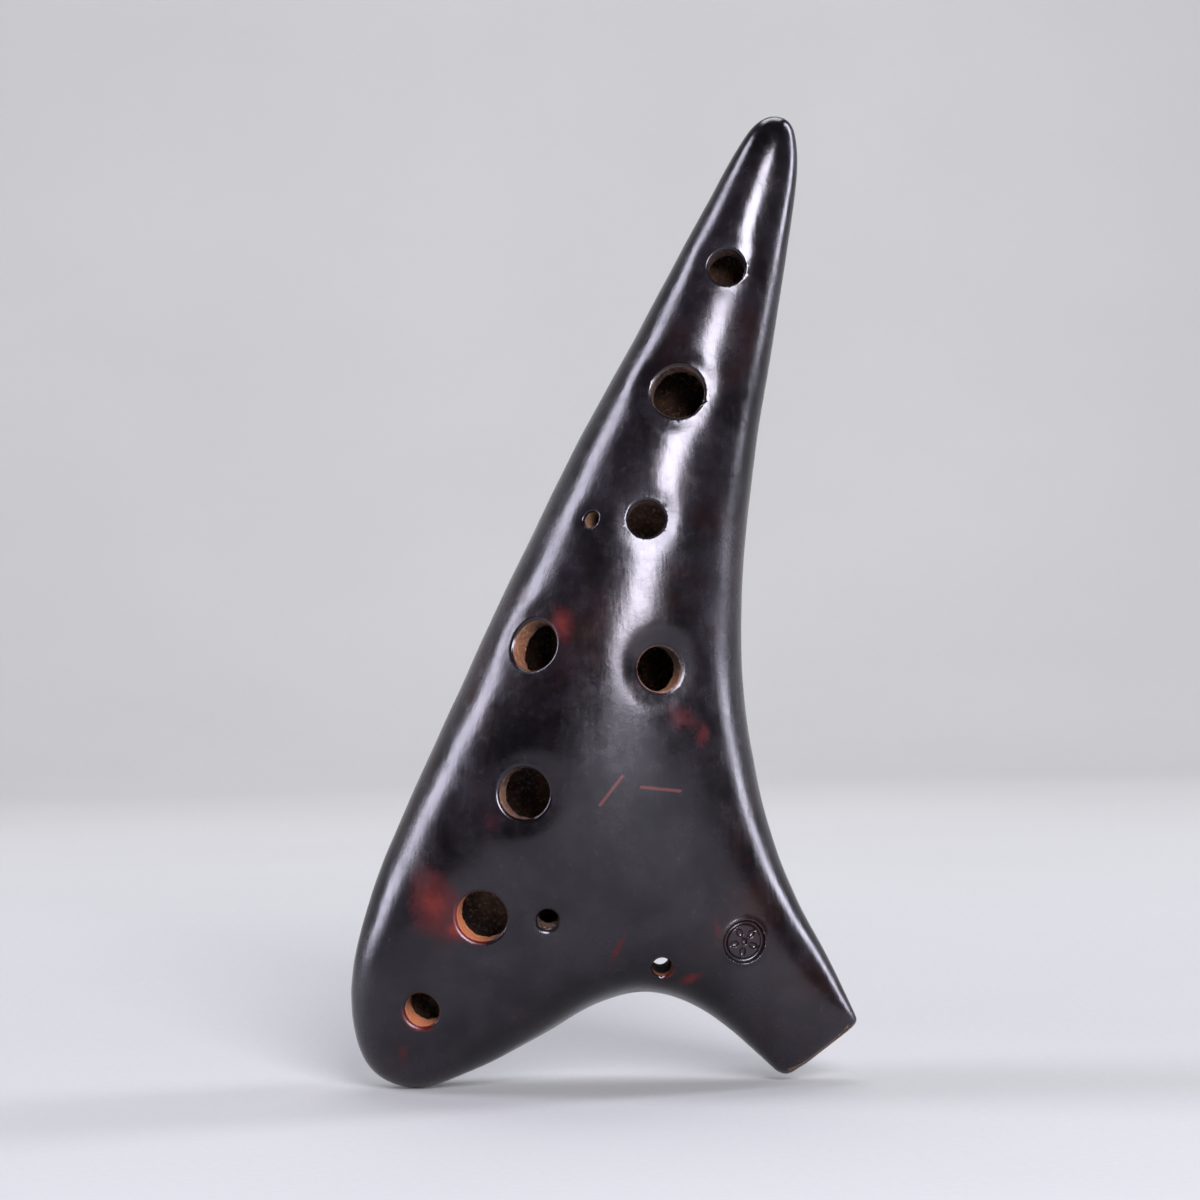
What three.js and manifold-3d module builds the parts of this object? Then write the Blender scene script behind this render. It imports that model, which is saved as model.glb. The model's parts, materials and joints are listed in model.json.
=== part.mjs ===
// A transverse clay ocarina with twelve voiced holes, standing on its head and on the corner of its
// mouthpiece.
// Millimetres, +Z up, finger holes towards -Y, mouthpiece towards +X, origin on the floor under the
// middle of the box.
import * as THREE from 'three';
import { ParametricGeometry } from 'three/addons/geometries/ParametricGeometry.js';
import { mergeVertices } from 'three/addons/utils/BufferGeometryUtils.js';
import Module from 'manifold-3d';

const wasm = await Module();
wasm.setup();

// Overall sizes of the clay body, as drawn before it is stood up.
const BODY_WIDTH = 87.6;
const BODY_HEIGHT = 167.6;
const FRONT_BULGE = 20;
const BACK_BULGE = 24;

// Clay thickness, and the gap left wherever two pieces are luted together.
const WALL = 4.2;
const JOINT_GAP = 0.3;

// Finger holes, their two sub-holes, the thumb holes and the cord hole.
const LARGE_HOLE = 9.2;
const RING_HOLE = 9.4;
const INDEX_HOLE = 8.2;
const SMALL_HOLE = 6.6;
const SUB_HOLE_LOWER = 4.2;
const SUB_HOLE_UPPER = 3.2;
const THUMB_HOLE = 9.8;
const CORD_HOLE = 4;
const CORD_POST = 10;
const CORD_WEB = 12;

// The whistle: windway, window, ramp and the strips that close the windway.
const WINDWAY_LENGTH = 25;
const WINDWAY_WIDTH = 10;
const WINDWAY_MOUTH = 2.6;
const WINDWAY_EXIT = 1.2;
const WINDWAY_START = 1.2;
const WINDOW_LENGTH = 6;
const RAMP_LENGTH = 8;
const STRIP_MARGIN = 1.5;
const FLOOR_THICKNESS = 3;
const LABIUM_EDGE = 0.5;
const LABIUM_HEEL = 4;

// How far the beak runs on past the lip before the lip is cut square, and how far in its corners
// draw there.
const BEAK_SPARE = 12;
const BEAK_DRAW = 0.22;
const BEAK_SHOULDER = 0.7;

// Where the chamber ends, as places along the list of sections below: near the tail tip and inside
// the beak.
const CHAMBER_TAIL = 3.2;
const CHAMBER_BEAK = 16.6;

// The tail's sections are near to round. The head is flatter by this share, up to a share of the height.
const HEAD_FLATNESS = 0.3;
const HEAD_END = 0.8;

// Mesh fineness, and the passes it takes to level the standing body.
const SECTION_STEPS = 40;
const CHAMBER_SECTION_STEPS = 24;
const BORE_SIDES = 28;
const TURN_PASSES = 4;

// How far the cutting bars run past the clay that they cut.
const BORE_SPARE = 6;
const BORE_PAST_WALL = 2.4;
const BEAK_CLEAR = 2;
const CUT_OVERLAP = 0.1;
const REACH = 300;
const THROUGH = 2 * (FRONT_BULGE + BACK_BULGE);
const OUTER_STEPS = 60;
const CHAMBER_STEPS = 40;

// Sections from the tail tip to the lip. Each row is the left foot and the right foot of a chord
// across the outline,
// as shares of BODY_WIDTH from the left and of BODY_HEIGHT from the floor.
const SECTIONS = [
  [0.835, 1.0, 0.835, 1.0],
  [0.798, 0.992, 0.868, 0.992],
  [0.758, 0.963, 0.88, 0.956],
  [0.68, 0.888, 0.87, 0.897],
  [0.562, 0.774, 0.831, 0.769],
  [0.428, 0.644, 0.796, 0.651],
  [0.31, 0.517, 0.772, 0.532],
  [0.208, 0.402, 0.77, 0.444],
  [0.118, 0.297, 0.78, 0.378],
  [0.043, 0.201, 0.792, 0.34],
  [0.0, 0.101, 0.802, 0.313],
  [0.031, 0.025, 0.811, 0.293],
  [0.128, 0.0, 0.821, 0.275],
  [0.255, 0.022, 0.833, 0.255],
  [0.383, 0.057, 0.847, 0.233],
  [0.491, 0.089, 0.864, 0.212],
  [0.599, 0.099, 0.89, 0.182],
  [0.717, 0.073, 0.939, 0.135],
  [0.859, 0.008, 1.002, 0.066],
];

// Places on the body, as shares of BODY_WIDTH and BODY_HEIGHT, with each hole's diameter.
const FRONT_HOLES = {
  right_little: [0.735, 0.839, SMALL_HOLE],
  right_ring: [0.639, 0.712, RING_HOLE],
  right_middle: [0.58, 0.583, SMALL_HOLE],
  right_sub: [0.472, 0.583, SUB_HOLE_UPPER],
  right_index: [0.609, 0.433, INDEX_HOLE],
  left_index: [0.36, 0.457, LARGE_HOLE],
  left_middle: [0.344, 0.309, LARGE_HOLE],
  left_ring: [0.263, 0.184, LARGE_HOLE],
  left_sub: [0.391, 0.181, SUB_HOLE_LOWER],
  left_little: [0.145, 0.086, SMALL_HOLE],
};
const BACK_HOLES = {
  right_thumb: [0.58, 0.52, THUMB_HOLE],
  left_thumb: [0.4, 0.36, THUMB_HOLE],
};
const CORD_PLACE = [0.611, 0.131];

// ---- Outline ----

// A point in the plane of the seam, from shares of the body's width and height.
function place(shareX, shareZ) {
  return new THREE.Vector2(shareX * BODY_WIDTH, shareZ * BODY_HEIGHT);
}

const leftFeet = SECTIONS.map(([x, z]) => place(x, z));
const rightFeet = SECTIONS.map(([, , x, z]) => place(x, z));

// The beak's own directions: the lip's middle, across the lip, and inwards along the windway.
const lipLeft = leftFeet.at(-1).clone();
const lipRight = rightFeet.at(-1).clone();
const lipMiddle = lipLeft.clone().add(lipRight).multiplyScalar(0.5);
const lipAcross = lipRight.clone().sub(lipLeft).normalize();
const inwards = new THREE.Vector2(-lipAcross.y, lipAcross.x);

// The spare end of the beak, which the lip cut removes.
const spareEnd = lipMiddle.clone().addScaledVector(inwards, -BEAK_SPARE);
for (const feet of [leftFeet, rightFeet]) {
  const corner = feet.at(-1).clone().lerp(lipMiddle, BEAK_DRAW);
  feet.push(corner.addScaledVector(inwards, -BEAK_SPARE * BEAK_SHOULDER));
  feet.push(spareEnd.clone());
}

const leftCurve = new THREE.SplineCurve(leftFeet);
const rightCurve = new THREE.SplineCurve(rightFeet);
const LAST_SECTION = leftFeet.length - 1;

// A chord's two feet. The station counts along SECTIONS and need not be whole.
function chord(station) {
  const t = THREE.MathUtils.clamp(station / LAST_SECTION, 0, 1);
  return [leftCurve.getPoint(t), rightCurve.getPoint(t)];
}

// ---- Fullness: how high the body stands over the seam plane ----

const OUTLINE_SAMPLES = 320;
const SOURCE_COUNT = 160;
const SOURCE_DISTANCE = 4;
const SOLVE_DAMPING = 1e-10;

// The outline as evenly spaced points, down the left side and back up the right.
function outlinePoints(count) {
  const loop = new THREE.Path();
  const steps = LAST_SECTION * 12;
  const points = [];
  for (let i = 0; i <= steps; i += 1) points.push(leftCurve.getPoint(i / steps));
  for (let i = steps - 1; i > 0; i -= 1) points.push(rightCurve.getPoint(i / steps));
  loop.moveTo(points[0].x, points[0].y);
  for (const point of points.slice(1)) loop.lineTo(point.x, point.y);
  loop.closePath();
  return loop.getSpacedPoints(count).slice(0, count);
}

// Solves a square system of equations by elimination with pivoting.
function solve(matrix, values) {
  const n = values.length;
  for (let column = 0; column < n; column += 1) {
    let pivot = column;
    for (let row = column + 1; row < n; row += 1) {
      if (Math.abs(matrix[row][column]) > Math.abs(matrix[pivot][column])) pivot = row;
    }
    [matrix[column], matrix[pivot]] = [matrix[pivot], matrix[column]];
    [values[column], values[pivot]] = [values[pivot], values[column]];
    for (let row = column + 1; row < n; row += 1) {
      const share = matrix[row][column] / matrix[column][column];
      for (let k = column; k < n; k += 1) matrix[row][k] -= share * matrix[column][k];
      values[row] -= share * values[column];
    }
  }
  for (let row = n - 1; row >= 0; row -= 1) {
    for (let k = row + 1; k < n; k += 1) values[row] -= matrix[row][k] * values[k];
    values[row] /= matrix[row][row];
  }
  return values;
}

// A smooth function of the seam plane that is zero on the outline and largest in the middle of the
// body, like the
// swelling of a sheet held at its edge. Its root is a rounded section everywhere: round in the tail,
// flatter in the head.
function swelling() {
  const rim = outlinePoints(OUTLINE_SAMPLES);
  const sources = [];
  for (let i = 0; i < SOURCE_COUNT; i += 1) {
    const k = Math.round((i * OUTLINE_SAMPLES) / SOURCE_COUNT);
    const before = rim[(k + OUTLINE_SAMPLES - 1) % OUTLINE_SAMPLES];
    const along = rim[(k + 1) % OUTLINE_SAMPLES].clone().sub(before);
    const out = new THREE.Vector2(-along.y, along.x).normalize();
    sources.push(rim[k].clone().addScaledVector(out, -SOURCE_DISTANCE));
  }
  const particular = (p) => -0.5 * p.lengthSq();
  const row = (p) => [1, ...sources.map((q) => Math.log(p.distanceTo(q)))];
  const rows = rim.map(row);
  const n = SOURCE_COUNT + 1;
  const matrix = Array.from({ length: n }, () => new Array(n).fill(0));
  const values = new Array(n).fill(0);
  rim.forEach((p, i) => {
    for (let a = 0; a < n; a += 1) {
      values[a] -= rows[i][a] * particular(p);
      for (let b = 0; b < n; b += 1) matrix[a][b] += rows[i][a] * rows[i][b];
    }
  });
  for (let a = 0; a < n; a += 1) matrix[a][a] += SOLVE_DAMPING;
  const weights = solve(matrix, values);
  return (x, z) => {
    const p = new THREE.Vector2(x, z);
    return row(p).reduce((sum, value, i) => sum + value * weights[i], particular(p));
  };
}

const swell = swelling();

// The swelling with the head flattened, before it is scaled to the two bulges. It is negative
// outside the outline.
function rawFullness(x, z) {
  const flattening = 1 - HEAD_FLATNESS * (1 - THREE.MathUtils.smootherstep(z / BODY_HEIGHT, 0, HEAD_END));
  return swell(x, z) * flattening * flattening;
}

function greatestFullness() {
  let most = 0;
  for (let station = 1; station < LAST_SECTION; station += 0.25) {
    const [left, right] = chord(station);
    for (let share = 0.1; share < 1; share += 0.05) {
      const p = left.clone().lerp(right, share);
      most = Math.max(most, rawFullness(p.x, p.y));
    }
  }
  return most;
}

const mostFullness = greatestFullness();

// The square of the height over the seam, as a share of the square of the bulge.
const fullness = (x, z) => rawFullness(x, z) / mostFullness;
const bulge = (side) => (side < 0 ? FRONT_BULGE : BACK_BULGE);
const surfaceY = (x, z, side) => side * bulge(side) * Math.sqrt(Math.max(fullness(x, z), 0));

// The outward normal of the body's surface at a point on it.
function surfaceNormal(x, z, side) {
  const step = 0.05;
  const slopeX = (fullness(x + step, z) - fullness(x - step, z)) / (2 * step);
  const slopeZ = (fullness(x, z + step) - fullness(x, z - step)) / (2 * step);
  const square = bulge(side) ** 2;
  return new THREE.Vector3(-slopeX * square, 2 * surfaceY(x, z, side), -slopeZ * square).normalize();
}

// ---- Solids ----

function solidOf(geometry) {
  const bare = geometry.clone();
  bare.deleteAttribute('normal');
  bare.deleteAttribute('uv');
  const merged = mergeVertices(bare, 1e-4);
  const index = merged.index.array;
  const triangles = [];
  for (let i = 0; i < index.length; i += 3) {
    const [a, b, c] = index.subarray(i, i + 3);
    if (a !== b && b !== c && c !== a) triangles.push(a, b, c);
  }
  const mesh = new wasm.Mesh({
    numProp: 3,
    vertProperties: new Float32Array(merged.attributes.position.array),
    triVerts: new Uint32Array(triangles),
  });
  return new wasm.Manifold(mesh);
}

// A closed skin through the body's sections between two stations, moved inwards by depth.
function skin(fromStation, toStation, depth, columns, steps) {
  const point = (u, v, target) => {
    const lastStack = steps;
    const stack = Math.round(v * lastStack);
    const share = THREE.MathUtils.clamp((stack - 1) / (lastStack - 2), 0, 1);
    const station = THREE.MathUtils.lerp(fromStation, toStation, share);
    const [left, right] = chord(station);
    const closing = stack === 0 || stack === lastStack;
    const onSeam = u === 0 || u === 0.5 || u === 1;
    const across = closing ? 0.5 : (1 - Math.cos(2 * Math.PI * u)) / 2;
    const side = u < 0.5 ? 1 : -1;
    const p = left.clone().lerp(right, across);
    const y = onSeam || closing ? 0 : surfaceY(p.x, p.y, side);
    target.set(p.x, y, p.y);
    if (depth > 0 && !closing) {
      const normal = surfaceNormal(p.x, p.y, side);
      if (onSeam) normal.setY(0).normalize();
      target.addScaledVector(normal, -depth);
    }
  };
  return solidOf(new ParametricGeometry(point, columns, steps));
}

// Puts a geometry drawn with X inwards from the lip, Y towards the back and Z across into the beak's
// place.
function inBeak(geometry) {
  const inward = new THREE.Vector3(inwards.x, 0, inwards.y);
  const back = new THREE.Vector3(0, 1, 0);
  const across = new THREE.Vector3().crossVectors(inward, back);
  const matrix = new THREE.Matrix4().makeBasis(inward, back, across);
  matrix.setPosition(lipMiddle.x, 0, lipMiddle.y);
  return solidOf(geometry.applyMatrix4(matrix));
}

// A bar of the given width across the beak, from its side profile of [inwards, back] points.
function beakBar(profile, width) {
  const shape = new THREE.Shape(profile.map(([s, y]) => new THREE.Vector2(s, y)));
  const geometry = new THREE.ExtrudeGeometry(shape, { depth: width, bevelEnabled: false });
  return inBeak(geometry.translate(0, 0, -width / 2));
}

// The surface height on the back, over the windway's middle line, at a distance inwards from the lip.
function backOverWindway(inward) {
  const p = lipMiddle.clone().addScaledVector(inwards, inward);
  return surfaceY(p.x, p.y, 1);
}

// A straight hole along the surface normal at a place on the body.
function bore(shareX, shareZ, side, diameter, depth) {
  const p = place(shareX, shareZ);
  const normal = surfaceNormal(p.x, p.y, side);
  const mouth = new THREE.Vector3(p.x, surfaceY(p.x, p.y, side), p.y);
  const geometry = new THREE.CylinderGeometry(diameter / 2, diameter / 2, BORE_SPARE + depth, BORE_SIDES);
  geometry.translate(0, (BORE_SPARE - depth) / 2, 0);
  geometry.applyQuaternion(new THREE.Quaternion().setFromUnitVectors(new THREE.Vector3(0, 1, 0), normal));
  return solidOf(geometry.translate(mouth.x, mouth.y, mouth.z));
}

// A round bar right through the body, front to back.
function throughBar(shareX, shareZ, diameter) {
  const p = place(shareX, shareZ);
  const bar = new THREE.CylinderGeometry(diameter / 2, diameter / 2, THROUGH, BORE_SIDES);
  return solidOf(bar.translate(p.x, 0, p.y));
}

// The solid clay that the cord hole runs through: a post that widens down into the wall under the hole.
function cordPost() {
  const p = place(...CORD_PLACE);
  const web = new THREE.BoxGeometry(CORD_POST, THROUGH, CORD_WEB).translate(p.x, 0, p.y - CORD_WEB / 2);
  return throughBar(...CORD_PLACE, CORD_POST).add(solidOf(web));
}

// ---- The clay body and its whistle ----

const edgeInwards = WINDWAY_LENGTH + WINDOW_LENGTH;
const edgeY = backOverWindway(edgeInwards) - WALL + LABIUM_EDGE;
const airSlope = (edgeY - WINDWAY_START) / edgeInwards;
const airY = (inward) => WINDWAY_START + airSlope * inward;
const stripWidth = WINDWAY_WIDTH + 2 * STRIP_MARGIN;

// All the space on the lip's side of a plane across the beak.
function beakUpTo(inward) {
  return beakBar([[-REACH, -REACH], [inward, -REACH], [inward, REACH], [-REACH, REACH]], REACH);
}

const beyondLip = beakUpTo(0);
const beakEnd = beakUpTo(WINDWAY_LENGTH);

const body = skin(0, LAST_SECTION, 0, SECTION_STEPS, OUTER_STEPS).subtract(beyondLip);
const hollow = skin(CHAMBER_TAIL, CHAMBER_BEAK, WALL, CHAMBER_SECTION_STEPS, CHAMBER_STEPS);
const chamber = hollow.subtract(beakEnd).subtract(cordPost());

// The air's way: the tapering windway, then the window, then the ramp that the labium's upper face
// lies on.
function airway() {
  const windway = beakBar([
    [-BEAK_CLEAR, airY(-BEAK_CLEAR) - WINDWAY_MOUTH / 2],
    [WINDWAY_LENGTH + CUT_OVERLAP, airY(WINDWAY_LENGTH) - WINDWAY_EXIT / 2],
    [WINDWAY_LENGTH + CUT_OVERLAP, airY(WINDWAY_LENGTH) + WINDWAY_EXIT / 2],
    [-BEAK_CLEAR, airY(-BEAK_CLEAR) + WINDWAY_MOUTH / 2],
  ], WINDWAY_WIDTH);
  const deep = edgeY - WALL;
  const window = beakBar([
    [WINDWAY_LENGTH, deep],
    [edgeInwards, deep],
    [edgeInwards, REACH],
    [WINDWAY_LENGTH, REACH],
  ], WINDWAY_WIDTH);
  const rampTop = backOverWindway(edgeInwards + RAMP_LENGTH);
  const ramp = beakBar([
    [edgeInwards - CUT_OVERLAP, edgeY],
    [edgeInwards + RAMP_LENGTH, rampTop],
    [edgeInwards + RAMP_LENGTH, rampTop + WALL],
    [edgeInwards - CUT_OVERLAP, rampTop + WALL],
  ], WINDWAY_WIDTH);
  return windway.add(window).add(ramp);
}

function boredHoles() {
  const depth = WALL + BORE_PAST_WALL;
  const bores = [throughBar(...CORD_PLACE, CORD_HOLE)];
  for (const [x, z, diameter] of Object.values(FRONT_HOLES)) bores.push(bore(x, z, -1, diameter, depth));
  for (const [x, z, diameter] of Object.values(BACK_HOLES)) bores.push(bore(x, z, 1, diameter, depth));
  return bores.reduce((all, one) => all.add(one));
}

// The three strips of the whistle take these spaces, and the floor and the roof meet at the
// windway's middle line.
// Each space grows by the joint gap where a shell makes room for it.
function floorSpace(gap) {
  const below = FLOOR_THICKNESS + gap;
  const above = gap - JOINT_GAP / 2;
  const end = WINDWAY_LENGTH + gap;
  return beakBar([
    [-BEAK_CLEAR, airY(-BEAK_CLEAR) - below - WINDWAY_MOUTH / 2],
    [end, airY(end) - below - WINDWAY_EXIT / 2],
    [end, airY(end) + above],
    [-BEAK_CLEAR, airY(-BEAK_CLEAR) + above],
  ], stripWidth + 2 * gap);
}

function roofSpace(gap) {
  const below = gap - JOINT_GAP / 2;
  const end = WINDWAY_LENGTH + gap;
  return beakBar([
    [-BEAK_CLEAR, airY(-BEAK_CLEAR) - below],
    [end, airY(end) - below],
    [end, REACH],
    [-BEAK_CLEAR, REACH],
  ], stripWidth + 2 * gap);
}

function labiumSpace(gap) {
  const start = edgeInwards - gap;
  const end = edgeInwards + RAMP_LENGTH + LABIUM_HEEL + gap;
  const foot = JOINT_GAP / 2 - gap;
  return beakBar([[start, foot], [end, foot], [end, REACH], [start, REACH]], stripWidth + 2 * gap);
}

const clay = body.subtract(chamber).subtract(boredHoles()).subtract(airway());
const half = (side) => {
  const block = new THREE.BoxGeometry(REACH * 2, REACH, REACH * 2);
  return solidOf(block.translate(0, side * (REACH / 2 + JOINT_GAP / 2), 0));
};
const whistleRoom = floorSpace(JOINT_GAP).add(roofSpace(JOINT_GAP)).add(labiumSpace(JOINT_GAP));

const pieces = {
  front_shell: clay.intersect(half(-1)).subtract(whistleRoom),
  back_shell: clay.intersect(half(1)).subtract(whistleRoom),
  windway_floor: clay.intersect(floorSpace(0)),
  windway_roof: clay.intersect(roofSpace(0)),
  labium: clay.intersect(labiumSpace(0)),
};

// ---- Scene graph ----

const CLAY = {
  front_shell: { color: 0x2a2226, roughness: 0.32 },
  back_shell: { color: 0x2c2323, roughness: 0.34 },
  windway_floor: { color: 0x6b4a33, roughness: 0.85 },
  windway_roof: { color: 0x2b2225, roughness: 0.36 },
  labium: { color: 0x4a3026, roughness: 0.6 },
};

function meshOf(name, solid) {
  const { vertProperties, triVerts } = solid.getMesh();
  const geometry = new THREE.BufferGeometry();
  geometry.setAttribute('position', new THREE.BufferAttribute(new Float32Array(vertProperties), 3));
  geometry.setIndex(new THREE.BufferAttribute(new Uint32Array(triVerts), 1));
  geometry.computeVertexNormals();
  const mesh = new THREE.Mesh(geometry, new THREE.MeshStandardMaterial({ ...CLAY[name], metalness: 0 }));
  mesh.name = name;
  return mesh;
}

// The lowest point of the drawn body on one side of its middle, after a turn about Y.
function lowest(points, turn, side) {
  const middle = BODY_WIDTH / 2;
  let best = null;
  for (const p of points) {
    if (Math.sign(p.x - middle) !== side) continue;
    const q = p.clone().applyAxisAngle(new THREE.Vector3(0, 1, 0), turn);
    if (!best || q.z < best.z) best = q;
  }
  return best;
}

// The turn about Y that puts the head and the lip's corner on one level.
function standingTurn() {
  const { vertProperties } = body.getMesh();
  const points = [];
  for (let i = 0; i < vertProperties.length; i += 3) {
    points.push(new THREE.Vector3(...vertProperties.subarray(i, i + 3)));
  }
  let turn = 0;
  for (let pass = 0; pass < TURN_PASSES; pass += 1) {
    const head = lowest(points, turn, -1);
    const corner = lowest(points, turn, 1);
    turn += Math.atan2(corner.z - head.z, corner.x - head.x);
  }
  return turn;
}

const standing = new THREE.Group();
for (const [name, solid] of Object.entries(pieces)) standing.add(meshOf(name, solid));
standing.rotation.y = standingTurn();

const ocarina = new THREE.Group();
ocarina.add(standing);
ocarina.updateMatrixWorld(true);
const box = new THREE.Box3().setFromObject(ocarina, true);
standing.position.set(-(box.min.x + box.max.x) / 2, -(box.min.y + box.max.y) / 2, -box.min.z);

export default ocarina;
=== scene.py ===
"""A smoke-fired clay ocarina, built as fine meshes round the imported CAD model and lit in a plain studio."""

import json
import math

import bmesh
import bpy
import numpy as np
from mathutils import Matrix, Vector


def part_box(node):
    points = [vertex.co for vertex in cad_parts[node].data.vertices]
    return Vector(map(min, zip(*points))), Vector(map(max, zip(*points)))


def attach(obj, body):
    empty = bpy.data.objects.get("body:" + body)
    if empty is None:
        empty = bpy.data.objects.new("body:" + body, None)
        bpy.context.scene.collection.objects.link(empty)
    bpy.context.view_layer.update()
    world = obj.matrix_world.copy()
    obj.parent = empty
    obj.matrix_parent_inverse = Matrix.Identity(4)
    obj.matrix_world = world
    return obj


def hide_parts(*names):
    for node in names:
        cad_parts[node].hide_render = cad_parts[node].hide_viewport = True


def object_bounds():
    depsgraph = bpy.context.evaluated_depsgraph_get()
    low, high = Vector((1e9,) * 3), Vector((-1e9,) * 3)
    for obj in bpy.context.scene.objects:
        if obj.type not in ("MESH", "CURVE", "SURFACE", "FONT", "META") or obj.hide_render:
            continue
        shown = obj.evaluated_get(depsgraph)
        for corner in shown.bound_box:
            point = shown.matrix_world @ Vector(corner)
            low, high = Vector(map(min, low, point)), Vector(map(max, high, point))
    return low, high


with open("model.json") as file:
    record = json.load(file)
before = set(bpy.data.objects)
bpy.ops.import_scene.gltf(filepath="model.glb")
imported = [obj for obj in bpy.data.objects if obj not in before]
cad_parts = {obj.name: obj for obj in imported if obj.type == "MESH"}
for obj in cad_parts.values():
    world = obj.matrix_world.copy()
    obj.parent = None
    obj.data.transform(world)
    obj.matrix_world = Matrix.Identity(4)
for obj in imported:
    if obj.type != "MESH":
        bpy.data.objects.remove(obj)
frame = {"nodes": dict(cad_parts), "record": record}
CAD_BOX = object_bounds()
MM = 0.001  # shapes are worked out in millimetres and turned into metres at the end

LOW, HIGH = (np.array(corner) / MM for corner in CAD_BOX)
FRONT_TOP, BACK_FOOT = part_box("front_shell")[1][1] / MM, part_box("back_shell")[0][1] / MM
SEAM_Y = (FRONT_TOP + BACK_FOOT) / 2
FRONT_BULGE, BACK_BULGE = SEAM_Y - LOW[1], HIGH[1] - SEAM_Y

# ---- Sizes in millimetres, as the CAD model has them ----

WALL = 4.2
WINDWAY_LENGTH = 25
WINDWAY_WIDTH = 10
WINDWAY_MOUTH = 2.6
WINDWAY_EXIT = 1.2
WINDWAY_START = 1.2
WINDOW_LENGTH = 6
RAMP_LENGTH = 8
STRIP_MARGIN = 1.5
FLOOR_THICKNESS = 3
LABIUM_EDGE = 0.5
LABIUM_HEEL = 4
BEAK_SPARE = 12  # how far the outline's narrow point runs past the lip
BEAK_SHOULDER = 0.7  # share of that run where it starts to close
BEAK_DRAW = 0.22  # how far it has drawn in there
HEAD_FLATNESS = 0.3
HEAD_END = 0.8  # share of the height where the flattening ends
CHAMBER_TOP = 0.878  # share of the height where the chamber ends in the tail
CORD_POST = 10
LEAN = math.radians(1.186)  # how far the part leans when it stands on its head and lip

# ---- Sizes in millimetres that only this fine model has ----

OUTLINE_STEP = 1.2
PITCH = 0.7  # the grid that the clay is meshed on
GRID_MARGIN = 1.5
SEAM_GAP = 0.03  # the fine line between two joined pieces
BURNISH = 0.07, 0.04  # heights of the long and the short waves that the burnishing stone left
CHAMBER_ROUNDING = 3.0
WHISTLE_ROUNDING = 0.25
WHISTLE_OVERLAP = 0.3
LIP_ROUNDING = 1.3
LIP_CORNER_ROUNDING = 1.5  # how much more the lip's lower corner is rounded
LIP_CORNER_START, LIP_CORNER_RUN = 3.0, 5.0  # where below the lip's middle that starts, and over what length
RAW_START, RAW_RUN = 0.5, 1.6  # depth where the burnish gives way to raw clay, and over what depth
JOINT_DEPTH = 0.12  # a face whose middle lies this deep in the whole clay is a joint face

# Holes: place as shares of the CAD box's width and height, diameter, how far the rim is rounded over, and the
# depth of the shallow dish that the fingertip rests in.
FRONT_HOLES = {
    "right_little": (0.7636, 0.8389, 6.6, 0.55, 0.30),
    "right_ring": (0.6626, 0.7119, 9.4, 0.65, 0.55),
    "right_middle": (0.5985, 0.5825, 6.6, 0.55, 0.30),
    "right_sub": (0.4906, 0.5837, 3.2, 0.40, 0.12),
    "right_index": (0.6216, 0.4311, 8.2, 0.80, 0.60),
    "left_index": (0.3736, 0.458, 9.2, 0.75, 0.35),
    "left_middle": (0.3518, 0.309, 9.2, 0.80, 0.35),
    "left_ring": (0.2659, 0.1839, 9.2, 0.85, 0.30),
    "left_sub": (0.3937, 0.1795, 4.2, 0.75, 0.20),
    "left_little": (0.1441, 0.0864, 6.6, 0.80, 0.25),
}
BACK_HOLES = {
    "right_thumb": (0.5996, 0.519, 9.8, 0.80, 0.60),
    "left_thumb": (0.4098, 0.3598, 9.8, 0.80, 0.60),
}
CORD_HOLE = (0.6116, 0.1267, 4.0, 0.80, 0.15)
MARK = (0.7715, 0.1511)

# ---- The outline, read from the CAD model's seam ----


def points_of(mesh):
    """A mesh's points, one to a row."""
    points = np.empty(len(mesh.vertices) * 3)
    mesh.vertices.foreach_get("co", points)
    return points.reshape(-1, 3)


def cad_triangles(node):
    """A CAD node's points in millimetres, doubles merged, and its triangles."""
    mesh = frame["nodes"][node].data
    mesh.calc_loop_triangles()
    corners = np.empty(len(mesh.loop_triangles) * 3, int)
    mesh.loop_triangles.foreach_get("vertices", corners)
    merged, place = np.unique(np.round(points_of(mesh) / MM, 3), axis=0, return_inverse=True)
    return merged, place.reshape(-1)[corners].reshape(-1, 3)


def loop_area(loop):
    """The area inside a closed line of (x, z) points, positive when it runs anticlockwise."""
    x, z = loop[:, 0], loop[:, 1]
    return 0.5 * float(np.sum(x * np.roll(z, -1) - np.roll(x, -1) * z))


def seam_loop():
    """The largest closed line round the front shell's seam face, as points (x, z)."""
    points, triangles = cad_triangles("front_shell")
    on_seam = np.abs(points[triangles][:, :, 1] - points[:, 1].max()) < 0.01
    sides = {}
    for a, b, c in triangles[on_seam.all(axis=1)]:
        for start, end in ((a, b), (b, c), (c, a)):
            sides[(start, end)] = True
    onward = {a: b for a, b in sides if (b, a) not in sides}
    best = np.zeros((0, 2))
    while onward:
        start = next(iter(onward))
        loop = []
        while start in onward:
            loop.append(start)
            start = onward.pop(start)
        line = points[loop][:, [0, 2]]
        if abs(loop_area(line)) > abs(loop_area(best)):
            best = line
    return best if loop_area(best) > 0 else best[::-1]


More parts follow.
